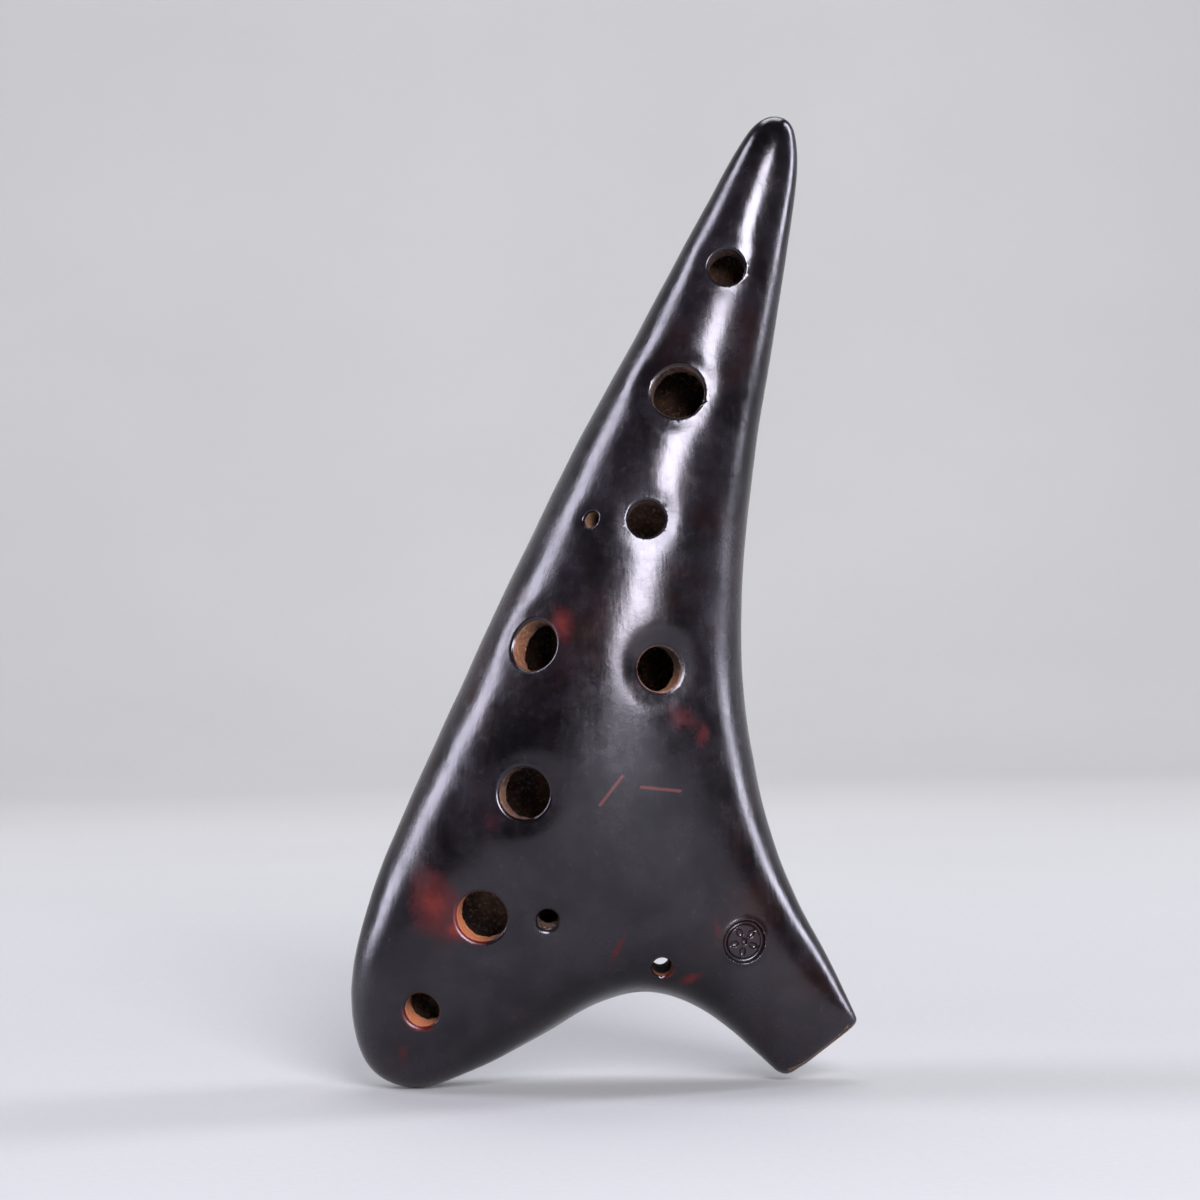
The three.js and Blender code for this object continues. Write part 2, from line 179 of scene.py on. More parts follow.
class Beak:
    """The mouthpiece's own directions in the seam's plane: s inwards from the lip and t across it."""

    def __init__(self, lip):
        outward = np.array([lip["axis"][0], lip["axis"][2]])
        self.inward = -outward / np.linalg.norm(outward)
        self.across = np.array([-self.inward[1], self.inward[0]])
        self.middle = np.array([lip["pos_m"][0], lip["pos_m"][2]]) / MM

    def local(self, x, z):
        """The (s, t) of a point (x, z)."""
        x, z = x - self.middle[0], z - self.middle[1]
        return x * self.inward[0] + z * self.inward[1], x * self.across[0] + z * self.across[1]

    def world(self, s, t):
        """The (x, z) of a point (s, t)."""
        x = self.middle[0] + s * self.inward[0] + t * self.across[0]
        z = self.middle[1] + s * self.inward[1] + t * self.across[1]
        return x, z


beak = Beak(frame["record"]["mounts"][0])


def even_line(points, step):
    """Evenly spaced points along an open line, about a step apart."""
    length = np.concatenate([[0], np.cumsum(np.linalg.norm(np.diff(points, axis=0), axis=1))])
    marks = np.linspace(0, length[-1], int(round(length[-1] / step)) + 1)
    return np.stack([np.interp(marks, length, points[:, k]) for k in (0, 1)], axis=1)


def smoothed(points, passes):
    """A closed line with its small kinks evened out."""
    for _ in range(passes):
        points = (np.roll(points, 1, axis=0) + 2 * points + np.roll(points, -1, axis=0)) / 4
    return points


def open_seam():
    """The seam without the windway's cuts, and the lip's two corners.

    The seam comes as a line that ends at the corner of most t, and starts at the next point of the lip.
    """
    loop = seam_loop()
    s, t = beak.local(loop[:, 0], loop[:, 1])
    beside = WINDWAY_WIDTH / 2 + STRIP_MARGIN + 1
    keep = (np.abs(t) > beside) | (s > WINDWAY_LENGTH + WINDOW_LENGTH)
    loop, s, t = loop[keep], s[keep], t[keep]
    on_lip = np.flatnonzero(np.abs(s) < 0.05)
    least, most = on_lip[np.argmin(t[on_lip])], on_lip[np.argmax(t[on_lip])]
    return np.roll(loop, -(most + 1), axis=0), loop[[least, most]]


def past_the_lip(line):
    """The closed outline of the line, with a narrow point past the lip between its two ends."""
    drawn = [place + (beak.middle - place) * BEAK_DRAW for place in line[[-1, 0]]]
    first, last = (place - beak.inward * BEAK_SPARE * BEAK_SHOULDER for place in drawn)
    tip = beak.middle - beak.inward * BEAK_SPARE
    return np.vstack([even_line(line, OUTLINE_STEP), first, tip, last])


seam, lip_corners = open_seam()
beak.middle = lip_corners.mean(axis=0)  # the mount's place is a rounded one
outline = past_the_lip(seam)

# ---- The body's fullness: how it swells from the outline ----


class Fullness:
    """The square of the body's height over the seam, as a share of the square of its bulge, with its slopes.

    It is 0 along the outline and bends alike everywhere inside, as a film blown up from the outline does.
    A bowl and the logarithms of the distances from sources just outside the outline add up to that.
    """

    SOURCES = 200
    RIM_POINTS = 4  # places on the outline for each source, where the sum is fitted to 0
    SOURCE_DISTANCE = 4
    EDGE_DISTANCE = 1.5  # how far outside the outline the sum still holds
    HOLLOW = 0.05  # what is taken further out, below 0

    def __init__(self, outline):
        closed = np.vstack([outline, outline[:1]])
        around = np.linalg.norm(np.diff(closed, axis=0), axis=1).sum()
        rim = smoothed(even_line(closed, around / (self.RIM_POINTS * self.SOURCES))[:-1], passes=6)
        along = np.roll(rim, -1, axis=0) - np.roll(rim, 1, axis=0)
        out = np.stack([along[:, 1], -along[:, 0]], axis=1)
        out /= np.linalg.norm(out, axis=1)[:, None]
        ring = rim + out * self.SOURCE_DISTANCE
        ring = np.vstack([ring, ring[:1]])
        ring_length = np.linalg.norm(np.diff(ring, axis=0), axis=1).sum()
        self.sources = even_line(ring, ring_length / self.SOURCES)[:-1]
        self.edge = (rim + out * self.EDGE_DISTANCE)[::2]
        gaps = np.linalg.norm(rim[:, None] - self.sources[None], axis=2)
        system = np.hstack([np.ones((len(rim), 1)), np.log(gaps)])
        self.weights = np.linalg.lstsq(system, 0.5 * np.sum(rim**2, axis=1), rcond=1e-10)[0]
        self.most = 1.0
        spans = (np.arange(rim[:, k].min(), rim[:, k].max(), 1.0) for k in (0, 1))
        x, z = (grid.ravel() for grid in np.meshgrid(*spans))
        self.most = float(self(x, z)[0].max())

    def within(self, x, z):
        """Whether points are inside the line just round the outline."""
        odd = np.zeros(x.shape, bool)
        for (x1, z1), (x2, z2) in zip(self.edge, np.roll(self.edge, -1, axis=0)):
            if z1 != z2:
                odd ^= ((z1 > z) != (z2 > z)) & (x < (x2 - x1) * (z - z1) / (z2 - z1) + x1)
        return odd

    def __call__(self, x, z):
        x, z = np.broadcast_arrays(np.asarray(x, float), np.asarray(z, float))
        value = self.weights[0] - 0.5 * (x * x + z * z)
        slope_x, slope_z = -x.copy(), -z.copy()
        for weight, (source_x, source_z) in zip(self.weights[1:], self.sources):
            away_x, away_z = x - source_x, z - source_z
            square = away_x * away_x + away_z * away_z + 1e-9
            value = value + 0.5 * weight * np.log(square)
            slope_x += weight * away_x / square
            slope_z += weight * away_z / square
        value = np.where(self.within(x, z), value, -self.HOLLOW * self.most)
        share = np.clip((z + math.tan(LEAN) * (x - LOW[0])) / HIGH[2] / HEAD_END, 0, 1)
        rise = share**3 * (share * (6 * share - 15) + 10)
        steep = 30 * share**2 * (share - 1) ** 2 / (HIGH[2] * HEAD_END)
        flat = 1 - HEAD_FLATNESS * (1 - rise)
        scale = flat * flat / self.most
        slope_z = slope_z * scale + value * 2 * flat * HEAD_FLATNESS * steep / self.most
        return value * scale, slope_x * scale, slope_z


fullness = Fullness(outline)


# ---- Distances: negative inside the clay ----


def round_meet(a, b, radius):
    """The space that is in both a and b, with the edge between them rounded over."""
    both = np.minimum(np.maximum(a, b), -radius)
    return both + np.hypot(np.maximum(a + radius, 0), np.maximum(b + radius, 0))


def wobble(x, y, z):
    """The slight unevenness of a hand-burnished surface, in millimetres."""
    long, short = BURNISH
    wave = np.sin(0.13 * x + 0.9 * np.sin(0.05 * z + 1.1)) * np.sin(0.11 * z + 0.07 * y + 0.4)
    return long * wave + short * np.sin(0.31 * x - 0.12 * y + 2.0) * np.sin(0.27 * z + 0.19 * x)


def skin_distance(x, y, z):
    """Roughly how far a point is outside the body's surface."""
    full, slope_x, slope_z = fullness(x, z)
    depth = y - SEAM_Y
    square = np.where(depth < 0, FRONT_BULGE, BACK_BULGE) ** 2
    over = depth**2 - square * full
    quarter = depth**2 + square**2 * (slope_x**2 + slope_z**2) / 4
    return over / (np.sqrt(quarter) + np.sqrt(np.maximum(quarter - over, 1e-6)))


def slope_of(distance, points, step=0.02):
    """The unit direction in which a distance grows at each point."""
    turns = np.array([[1, 1, 1], [1, -1, -1], [-1, 1, -1], [-1, -1, 1]], float)
    total = np.zeros_like(points)
    for turn in turns:
        total += turn * distance(*(points + step * turn).T)[:, None]
    return total / np.maximum(np.linalg.norm(total, axis=1), 1e-9)[:, None]


def on_surface(share_x, share_z, side):
    """The point on the body's front (-1) or back (1) at shares of the CAD box, and its outward normal."""
    x = LOW[0] + share_x * (HIGH[0] - LOW[0])
    z = LOW[2] + share_z * (HIGH[2] - LOW[2])
    full = float(fullness(x, z)[0])
    y = SEAM_Y + side * (FRONT_BULGE if side < 0 else BACK_BULGE) * math.sqrt(max(full, 0))
    point = np.array([x, y, z])
    return point, slope_of(skin_distance, point[None])[0]


class Hole:
    """A round hole inwards from a place on the skin, with a rounded rim and a shallow dish round it."""

    REACH = 6  # how far along its axis a hole still shapes and colours the skin
    RIM_SHARE = 0.4  # share of the rim's rounding that the bore is narrower than the open hole

    def __init__(self, place, side, depth=WALL + 3.0, straight=False):
        share_x, share_z, diameter, self.rim, self.dish = place
        self.point, self.axis = on_surface(share_x, share_z, side)
        if straight:
            self.axis = np.array([0.0, float(side), 0.0])
        self.radius, self.depth = diameter / 2 - self.RIM_SHARE * self.rim, depth

    def parts(self, x, y, z):
        """How far a point is from the hole's wall, and how far out along its axis."""
        x, y, z = x - self.point[0], y - self.point[1], z - self.point[2]
        out = x * self.axis[0] + y * self.axis[1] + z * self.axis[2]
        away = np.sqrt(np.maximum(x * x + y * y + z * z - out * out, 0))
        return away - self.radius, out

    def dish_at(self, wall, out):
        """How deep the dish is at a point with these parts."""
        dish = self.dish * np.exp(-((np.maximum(wall, 0) / (0.35 * self.radius + 1.1)) ** 2))
        return np.where(np.abs(out) < self.REACH, dish, 0)


named_holes = {name: Hole(place, -1) for name, place in FRONT_HOLES.items()}
named_holes.update({name: Hole(place, 1) for name, place in BACK_HOLES.items()})
cord_hole = Hole(CORD_HOLE, -1, depth=FRONT_BULGE + BACK_BULGE, straight=True)
named_holes["cord"] = cord_hole
holes = list(named_holes.values())


def back_over_windway(s):
    """How far behind the seam the back's skin is, over the middle of the windway."""
    x, z = beak.world(s, 0.0)
    return BACK_BULGE * math.sqrt(float(fullness(x, z)[0]))


EDGE_S = WINDWAY_LENGTH + WINDOW_LENGTH
EDGE_Y = back_over_windway(EDGE_S) - WALL + LABIUM_EDGE
AIR_SLOPE = (EDGE_Y - WINDWAY_START) / EDGE_S
RAMP_S = EDGE_S + RAMP_LENGTH
RAMP_Y = back_over_windway(RAMP_S)


def air_y(s):
    """How far behind the seam the middle of the air stream is."""
    return WINDWAY_START + AIR_SLOPE * s


def within_all(*distances):
    """The space that is in all of the given ones."""
    return np.maximum.reduce(np.broadcast_arrays(*distances))


def airway_parts(x, y, z):
    """The windway, the window and the ramp, in the beak's own directions, each as a distance."""
    s, t = beak.local(x, z)
    y = y - SEAM_Y
    side = np.abs(t) - WINDWAY_WIDTH / 2
    height = WINDWAY_MOUTH + (WINDWAY_EXIT - WINDWAY_MOUTH) * (s / WINDWAY_LENGTH)
    windway = within_all(side, np.abs(y - air_y(s)) - height / 2, s - WINDWAY_LENGTH - WHISTLE_OVERLAP)
    window = within_all(side, WINDWAY_LENGTH - s, s - EDGE_S, EDGE_Y - WALL - y)
    rise = RAMP_Y - EDGE_Y
    over = (RAMP_LENGTH * (y - EDGE_Y) - rise * (s - EDGE_S)) / math.hypot(rise, RAMP_LENGTH)
    ramp = within_all(side, -over, EDGE_S - WHISTLE_OVERLAP - s)
    return windway, window, ramp


class Stamp:
    """A potter's flower stamp: a pressed ring with petal dents and a dot inside, and a low burr round it."""

    RING, GROOVE = 3.3, 0.42  # radius of the ring, and of the round groove that it pressed
    SINK = 0.12  # how deep in the skin the middles of the groove, the dot and the petals lie
    DOT = 0.55
    PETALS, FIRST_PETAL = 5, 0.5
    PETAL_OUT, PETAL_STRETCH, PETAL_SIZE, PETAL_FLATNESS = 1.75, 1.5, 0.52, 1.4
    BURR, BURR_OUT, BURR_WIDTH = 0.16, 0.62, 0.42
    DIP, DIP_EDGE = 0.1, 0.3  # how deep the clay inside the ring is pressed, and how wide its slope is

    def __init__(self, share_x, share_z):
        self.point, normal = on_surface(share_x, share_z, -1)
        right = np.cross(normal, [0.0, 0.0, 1.0])
        self.right = right / np.linalg.norm(right)
        up = np.cross(self.right, normal)
        self.up = up / np.linalg.norm(up)

    def away(self, x, y, z):
        """How far a point is from the stamp's middle."""
        return np.sqrt((x - self.point[0]) ** 2 + (y - self.point[1]) ** 2 + (z - self.point[2]) ** 2)

    def around(self, x, y, z, skin):
        """The skin's distance with the burr round the stamp and the dip inside it."""
        outside = self.away(x, y, z) - self.RING
        burr = self.BURR * np.exp(-(((outside - self.BURR_OUT) / self.BURR_WIDTH) ** 2))
        dip = self.DIP * np.exp(-((np.maximum(outside, 0) / self.DIP_EDGE) ** 2))
        return skin - burr + dip

    def pressed(self, x, y, z, skin):
        """The groove, the dot and the petals as one distance."""
        x, y, z = x - self.point[0], y - self.point[1], z - self.point[2]
        right = x * self.right[0] + y * self.right[1] + z * self.right[2]
        up = x * self.up[0] + y * self.up[1] + z * self.up[2]
        away = np.hypot(right, up)
        skin = skin + self.SINK
        groove = np.hypot(away - self.RING, skin) - self.GROOVE
        dents = np.sqrt(away**2 + skin**2) - self.DOT
        for petal in range(self.PETALS):
            turn = 2 * math.pi * petal / self.PETALS + self.FIRST_PETAL
            along = (right * math.sin(turn) + up * math.cos(turn) - self.PETAL_OUT) / self.PETAL_STRETCH
            beside = right * math.cos(turn) - up * math.sin(turn)
            dent = np.sqrt(along**2 + beside**2 + (skin * self.PETAL_FLATNESS) ** 2) - self.PETAL_SIZE
            dents = np.minimum(dents, dent)
        return np.minimum(groove, dents)


stamp = Stamp(*MARK)


def chamber_distance(x, y, z, skin):
    """The hollow inside, which ends in the tail, at the window and round the cord hole's post."""
    s, _ = beak.local(x, z)
    ends = round_meet(skin + WALL, z - CHAMBER_TOP * HIGH[2], CHAMBER_ROUNDING)
    ends = np.maximum(ends, WINDWAY_LENGTH - s)
    wall, _ = cord_hole.parts(x, y, z)
    post = wall + cord_hole.radius - CORD_POST / 2
    web = np.maximum(np.abs(x - cord_hole.point[0]) - CORD_POST / 2, z - cord_hole.point[2])
    return np.maximum(ends, -np.minimum(post, web))


def lip_rounding(t):
    """How far the lip's edge is rounded over, which is more at its lower corner."""
    below = -t if beak.across[1] > 0 else t
    share = np.clip((below - LIP_CORNER_START) / LIP_CORNER_RUN, 0, 1)
    return LIP_ROUNDING + LIP_CORNER_ROUNDING * share * share * (3 - 2 * share)


def clay_distance(x, y, z):
    """The whole fired ocarina: skin, lip, holes, stamp, chamber and whistle."""
    skin = skin_distance(x, y, z) + wobble(x, y, z)
    parts = [hole.parts(x, y, z) for hole in holes]
    for hole, (wall, out) in zip(holes, parts):
        skin = skin + hole.dish_at(wall, out)
    skin = stamp.around(x, y, z, skin)
    s, t = beak.local(x, z)
    clay = round_meet(skin, -s + 0 * y, lip_rounding(t))
    for hole, (wall, out) in zip(holes, parts):
        clay = round_meet(clay, -np.maximum(wall, -out - hole.depth), hole.rim)
    clay = np.maximum(clay, -stamp.pressed(x, y, z, skin))
    clay = np.maximum(clay, -chamber_distance(x, y, z, skin))
    for part in airway_parts(x, y, z):
        clay = round_meet(clay, -part, WHISTLE_ROUNDING)
    return clay


# ---- Meshing ----


def make_manifold(values):
    """Opens the few cell faces whose corners alternate in and out, which would pinch the mesh."""
    just_outside = 1e-3
    for _ in range(12):
        found = False
        for axis in range(3):
            u, v = (axis + 1) % 3, (axis + 2) % 3
            a = np.moveaxis(values, (u, v), (0, 1))
            inside = a < 0
            p, q, r, w = inside[:-1, :-1], inside[1:, :-1], inside[:-1, 1:], inside[1:, 1:]
            mixed = (p == w) & (q == r) & (p != q)
            if not mixed.any():
                continue
            found = True
            for fix, at in ((p, a[:-1, :-1]), (q, a[1:, :-1])):
                at[mixed & fix] = just_outside
        if not found:
            return


def surface_net(distance, low, high, pitch):
    """Quads round the zero of a distance, on a grid that runs along the beak's directions."""
    s, y, t = (np.arange(a, b + pitch, pitch) for a, b in zip(low, high))
    x, z = beak.world(s[:, None, None], t[None, None, :])
    values = distance(x, y[None, :, None], z).astype(np.float32)
    make_manifold(values)
    inside = values < 0
    shape = np.array(values.shape) - 1
    corners = np.array([(i, j, k) for i in (0, 1) for j in (0, 1) for k in (0, 1)])
    count = np.zeros(shape, np.int8)
    for i, j, k in corners:
        count += inside[i : i + shape[0], j : j + shape[1], k : k + shape[2]]
    cells = np.argwhere((count > 0) & (count < 8))
    index = np.full(shape, -1, np.int32)
    index[tuple(cells.T)] = np.arange(len(cells))
    at = [values[tuple((cells + corner).T)] for corner in corners]
    total, hits = np.zeros((len(cells), 3)), np.zeros(len(cells))
    for a, first in enumerate(corners):
        for b, second in enumerate(corners):
            if b > a and np.abs(second - first).sum() == 1:
                cross = (at[a] < 0) != (at[b] < 0)
                share = at[a][cross] / (at[a][cross] - at[b][cross])
                total[cross] += first + share[:, None] * (second - first)
                hits[cross] += 1
    points = np.array([s[0], y[0], t[0]]) + pitch * (cells + total / hits[:, None])
    quads = []
    for axis in range(3):
        u, v = (axis + 1) % 3, (axis + 2) % 3
        near = np.take(inside, range(shape[axis]), axis)
        far = np.take(inside, range(1, shape[axis] + 1), axis)
        edges = np.argwhere(near != far)
        edges = edges[(edges[:, [u, v]] > 0).all(axis=1) & (edges[:, [u, v]] < shape[[u, v]]).all(axis=1)]
        corner = []
        for step_u, step_v in ((1, 1), (0, 1), (0, 0), (1, 0)):
            cell = edges.copy()
            cell[:, u] -= step_u
            cell[:, v] -= step_v
            corner.append(index[tuple(cell.T)])
        quad = np.stack(corner, axis=1)
        leaving = near[tuple(edges.T)]
        quads.append(np.where(leaving[:, None], quad, quad[:, ::-1]))
    return points, np.vstack(quads)


def to_world(points):
    """Points (s, y, t) as points (x, y, z)."""
    x, z = beak.world(points[:, 0], points[:, 2])
    return np.stack([x, points[:, 1], z], axis=1)


def settle(points, passes, reach):
    """Moves points onto the clay's surface, none further than reach in one pass."""
    for _ in range(passes):
        gap = clay_distance(*points.T)
        points = points - slope_of(clay_distance, points) * np.clip(gap, -reach, reach)[:, None]
    return points


def refine(mesh, near):
    """Splits the faces where near(x, y, z) holds, and settles the points there onto the clay's surface."""
    chosen = near(*points_of(mesh).T)
    work = bmesh.new()
    work.from_mesh(mesh)
    edges = [edge for edge in work.edges if all(chosen[corner.index] for corner in edge.verts)]
    bmesh.ops.subdivide_edges(work, edges=edges, cuts=1, use_grid_fill=True)
    bmesh.ops.triangulate(work, faces=[face for face in work.faces if len(face.verts) > 4])
    work.to_mesh(mesh)
    work.free()
    points = points_of(mesh)
    moved = np.flatnonzero(near(*points.T))
    points[moved] = settle(points[moved], passes=2, reach=0.15)
    mesh.vertices.foreach_set("co", points.ravel())


def mesh_of(name, points, faces):
    """A mesh from arrays of points and of faces that all have as many corners."""
    mesh = bpy.data.meshes.new(name)
    mesh.vertices.add(len(points))
    mesh.vertices.foreach_set("co", np.ascontiguousarray(points).ravel())
    mesh.loops.add(faces.size)
    mesh.loops.foreach_set("vertex_index", faces.ravel().astype(np.int32))
    mesh.polygons.add(len(faces))
    mesh.polygons.foreach_set("loop_start", np.arange(0, faces.size, faces.shape[1], dtype=np.int32))
    mesh.update(calc_edges=True)
    mesh.validate()
    return mesh


def near_detail(x, y, z):
    """Where the mesh is split once: at the rims, the whistle, the lip, the stamp and the straw lines."""
    close = (stamp.away(x, y, z) < stamp.RING + 1.7) | (ash_at(x, y, z, 5.0) > 0)
    for hole in holes:
        wall, out = hole.parts(x, y, z)
        close |= (np.abs(wall) < hole.rim + 0.6) & (np.abs(out) < hole.rim + 1.0)
    s, t = beak.local(x, z)
    along_whistle = (s > WINDWAY_LENGTH - 2) & (s < RAMP_S + 2)
    close |= along_whistle & (np.abs(t) < WINDWAY_WIDTH / 2 + 2) & (y > SEAM_Y + 4)
    return close | (s < LIP_ROUNDING + 0.9)


def near_fine_lines(x, y, z):
    """Where the mesh is split again: at the stamp and the straw lines."""
    return (stamp.away(x, y, z) < stamp.RING + 1.1) | (ash_at(x, y, z, 4.0) > 0)


def whole_clay():
    """The ocarina's clay as one mesh in millimetres."""
    s, t = beak.local(outline[:, 0], outline[:, 1])
    low = (-GRID_MARGIN, LOW[1] - GRID_MARGIN, t.min() - GRID_MARGIN)
    high = (s.max() + GRID_MARGIN, HIGH[1] + GRID_MARGIN, t.max() + GRID_MARGIN)
    points, quads = surface_net(clay_distance, low, high, PITCH)
    mesh = mesh_of("clay", settle(to_world(points), passes=3, reach=0.3), quads)
    refine(mesh, near_detail)
    refine(mesh, near_fine_lines)
    return mesh


# ---- The five pieces ----

STRIP = WINDWAY_WIDTH + 2 * STRIP_MARGIN
OUTSIDE = -3  # where the strips' cutters start, in front of the lip
BEYOND = 60.0  # a height over the seam that is well outside the clay
HALF_SPACE = 300.0  # size of the block that keeps one half
SHARP = 0.55  # where the clay's slope and a face's own agree less than this cosine, the face is shaded flat


def solid(name, points, faces):
    """A closed mesh of triangles that face outwards."""
    mesh = bpy.data.meshes.new(name)
    mesh.from_pydata([tuple(map(float, p)) for p in points], [], faces)
    work = bmesh.new()
    work.from_mesh(mesh)
    bmesh.ops.recalc_face_normals(work, faces=work.faces)
    bmesh.ops.triangulate(work, faces=work.faces)
    work.to_mesh(mesh)
    work.free()
    return mesh


def prism(name, profile, width):
    """A bar across the beak from its side profile of (s, y) points, y counted from the seam."""
    rings = []
    for t in (-width / 2, width / 2):
        for s, y in profile:
            x, z = beak.world(s, t)
            rings.append((x, y + SEAM_Y, z))
    count = len(profile)
    faces = [list(range(count)), list(range(2 * count - 1, count - 1, -1))]
    for k in range(count):
        n = (k + 1) % count
        faces.append([n, k, k + count, n + count])
    return solid(name, rings, faces)


def half_space(side):
    """All that lies in front of the seam (-1) or behind it (1)."""
    near = SEAM_Y + side * SEAM_GAP / 2
    ends = sorted((near, near + side * HALF_SPACE))
    spans = (-HALF_SPACE, HALF_SPACE)
    points = [(x, y, z) for x in spans for y in ends for z in spans]
    faces = [[0, 1, 3, 2], [4, 6, 7, 5], [0, 4, 5, 1], [2, 3, 7, 6], [0, 2, 6, 4], [1, 5, 7, 3]]
    return solid("half_space", points, faces)


def floor_space(gap):
    """The room of the windway's floor, with a gap round it."""
    below, above, end = FLOOR_THICKNESS + gap, gap - SEAM_GAP / 2, WINDWAY_LENGTH + gap
    front = air_y(OUTSIDE) - below - WINDWAY_MOUTH / 2
    back = air_y(end) - below - WINDWAY_EXIT / 2
    profile = [(OUTSIDE, front), (end, back), (end, air_y(end) + above), (OUTSIDE, air_y(OUTSIDE) + above)]
    return prism("floor_space", profile, STRIP + 2 * gap)


def roof_space(gap):
    """The room of the windway's roof, with a gap round it."""
    below, end = gap - SEAM_GAP / 2, WINDWAY_LENGTH + gap
    profile = [(OUTSIDE, air_y(OUTSIDE) - below), (end, air_y(end) - below), (end, BEYOND), (OUTSIDE, BEYOND)]
    return prism("roof_space", profile, STRIP + 2 * gap)


def labium_space(gap):
    """The room of the labium and its ramp, with a gap round it."""
    start, end = EDGE_S - gap, RAMP_S + LABIUM_HEEL + gap
    return prism("labium_space", [(start, 0.0), (end, 0.0), (end, BEYOND), (start, BEYOND)], STRIP + 2 * gap)


def boolean(mesh, steps):
    """The mesh after cutting with each (operation, mesh) in turn."""
    base = bpy.data.objects.new("base", mesh)
    bpy.context.scene.collection.objects.link(base)
    cutters = []
    for operation, cutter in steps:
        tool = bpy.data.objects.new("cutter", cutter)
        bpy.context.scene.collection.objects.link(tool)
        cut = base.modifiers.new("cut", "BOOLEAN")
        cut.operation, cut.object, cut.solver = operation, tool, "MANIFOLD"
        cutters.append(tool)
    bpy.context.view_layer.update()
    result = bpy.data.meshes.new_from_object(base.evaluated_get(bpy.context.evaluated_depsgraph_get()))
    for item in (base, *cutters):
        bpy.data.objects.remove(item)
    return result


def shading(points, corners):
    """The normal at each face's corners: the clay's own slope on its skin, and the face's own on a joint."""
    first, second, third = (points[corners[:, k]] for k in range(3))
    flat = np.cross(second - first, third - first)
    flat /= np.maximum(np.linalg.norm(flat, axis=1), 1e-9)[:, None]
    smooth = slope_of(clay_distance, points, 0.05)[corners]
    on_joint = clay_distance(*points[corners].mean(axis=1).T) < -JOINT_DEPTH
    agree = np.einsum("fcx,fx->fc", smooth, flat) > SHARP
    keep = agree & ~on_joint[:, None]
    return np.where(keep[..., None], smooth, flat[:, None, :])


def depth_of(points):
    """How deep each point is under the burnished skin, holes and hollows left aside."""
    skin = skin_distance(*points.T) + wobble(*points.T)
    s, t = beak.local(points[:, 0], points[:, 2])
    return -round_meet(skin, -s, lip_rounding(t))


def finish_mesh(mesh):
    """Gives a piece its fire marks and its shading, and turns it into metres."""
    work = bmesh.new()
    work.from_mesh(mesh)
    bmesh.ops.triangulate(work, faces=[face for face in work.faces if len(face.verts) > 3])
    work.to_mesh(mesh)
    work.free()
    points = points_of(mesh)
    corners = np.empty(len(mesh.loops), int)
    mesh.loops.foreach_get("vertex_index", corners)
    normals = shading(points, corners.reshape(-1, 3))
    depth = depth_of(points)
    marks = {
        "rawness": np.clip((depth - RAW_START) / RAW_RUN, 0, 1),
        "fire_red": flame_at(points, depth),
        "straw_ash": ash_at(*points.T),
    }
    for name, values in marks.items():
        layer = mesh.attributes.new(name, "FLOAT", "POINT")
        layer.data.foreach_set("value", values.astype(np.float32))
    mesh.vertices.foreach_set("co", (points * MM).ravel())
    mesh.update()
    mesh.polygons.foreach_set("use_smooth", np.ones(len(mesh.polygons), bool))
    mesh.normals_split_custom_set(normals.reshape(-1, 3).tolist())
    return mesh


# ---- Fire marks: where the smoke firing left red clay and straw left pale lines ----

# Middle x and z in millimetres, half-width, half-height, turn in degrees, side and strength.
FLAMES = [
    (-28.6, 32.4, 5.6, 9.6, 6, -1, 0.85),
    (-24.6, 28.4, 4.2, 2.6, 0, -1, 1.0),
    (-5.9, 79.6, 2.8, 4.2, 20, -1, 0.8),
    (14.6, 63.0, 6.0, 3.6, -32, -1, 0.62),
    (17.4, 60.6, 2.2, 3.2, -20, -1, 0.72),
    (2.2, 24.4, 1.1, 4.6, -26, -1, 0.7),
    (14.6, 18.9, 3.0, 1.3, 24, -1, 0.95),
    (19.2, 27.4, 1.5, 2.6, 10, -1, 0.7),
    (24.6, 38.9, 1.6, 2.0, 0, -1, 0.6),
    (-34.6, 7.1, 2.2, 4.4, 10, -1, 0.62),
    (-12.0, 84.0, 5.0, 13.0, 20, -1, 0.42),
    (-20.0, 62.0, 6.0, 12.0, 0, -1, 0.46),
    (-18.0, 46.0, 7.0, 9.0, 0, -1, 0.44),
    (6.0, 70.0, 4.0, 5.0, 0, -1, 0.4),
    (-10.0, 110.0, 9.0, 20.0, 15, 1, 0.6),
    (16.0, 62.0, 9.0, 12.0, -25, 1, 0.8),
    (-24.0, 30.0, 8.0, 11.0, 10, 1, 0.9),
    (22.0, 135.0, 4.0, 11.0, 0, 1, 0.5),
]
# How strongly the fire coppered each front hole's rim, and the direction (x, z) it came from.
COPPER = {
    "left_ring": (1.0, -0.7, -0.5),
    "left_little": (1.0, -0.4, -0.7),
    "cord": (0.8, 0.6, -0.7),
    "right_index": (0.25, -0.2, -0.9),
    "left_index": (0.35, -0.7, -0.3),
    "right_middle": (0.2, -0.3, -0.8),
}
FLAME_EDGE = 1.6  # a flame has faded out at this many times its size
COPPER_REACH = 4  # how far from a hole's wall its copper can show
COPPER_FADE = 1.1  # the distance over which it fades
# Ends of each straw line, x and z, its half-width and side.
STRAWS = [
    (-0.1, 49.3, 3.7, 54.0, 0.1, -1),
    (6.8, 52.1, 13.3, 51.2, 0.1, -1),
    (-12.0, 84.0, 2.0, 92.0, 0.15, 1),
    (10.0, 96.0, 18.0, 112.0, 0.15, 1),
    (-26.0, 52.0, -16.0, 58.0, 0.15, 1),
]


def on_side(y, side):
    """How far a point is on the front (-1) or the back (1): 1 on that side, falling to 0 over the seam."""
    return np.clip((y - SEAM_Y) * side / 3.0 + 0.5, 0, 1)


